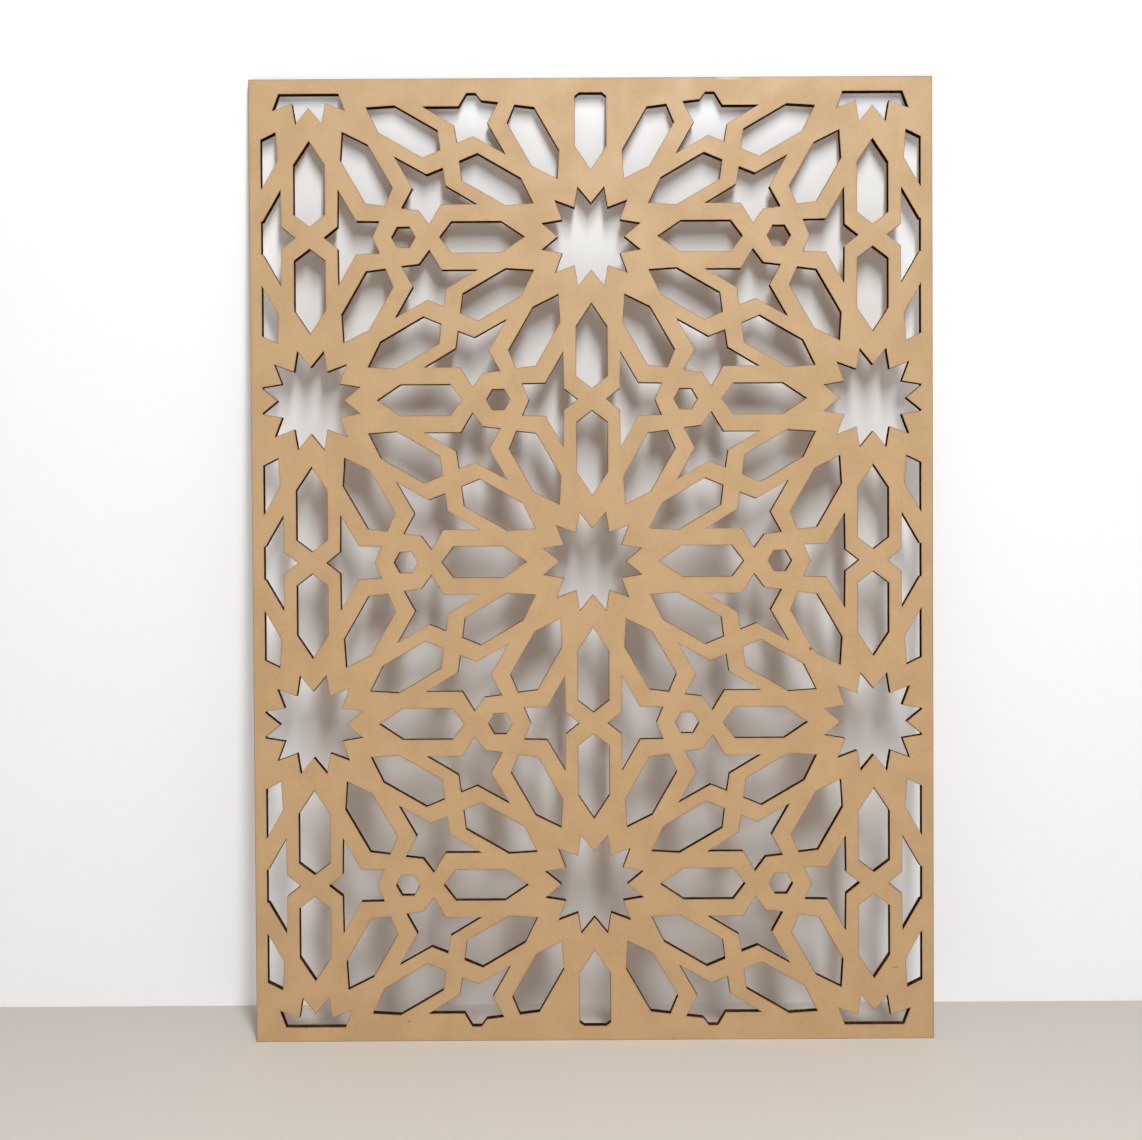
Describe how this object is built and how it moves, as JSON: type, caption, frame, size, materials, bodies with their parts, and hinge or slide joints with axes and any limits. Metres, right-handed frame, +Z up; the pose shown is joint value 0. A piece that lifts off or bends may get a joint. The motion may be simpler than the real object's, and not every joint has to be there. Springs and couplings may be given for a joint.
{
  "type": "fretwork wall panel",
  "caption": "Flat rectangular board pierced with a traditional star-and-petal lattice inside a narrow plain border, hung or fixed on a wall as a decorative screen.",
  "frame": {"origin": "middle of the back of the top rail, where the panel is fixed to a wall", "axes": "+Z up along the panel's height, +Y out of the back towards the wall, +X to the right seen from the front"},
  "size_m": [0.84, 0.012, 1.188],
  "materials": {
    "board": "raw tan fibreboard, matt, with dark scorched cut walls"
  },
  "bodies": {
    "root": {"fretwork_panel": "board"}
  },
  "joints": []
}
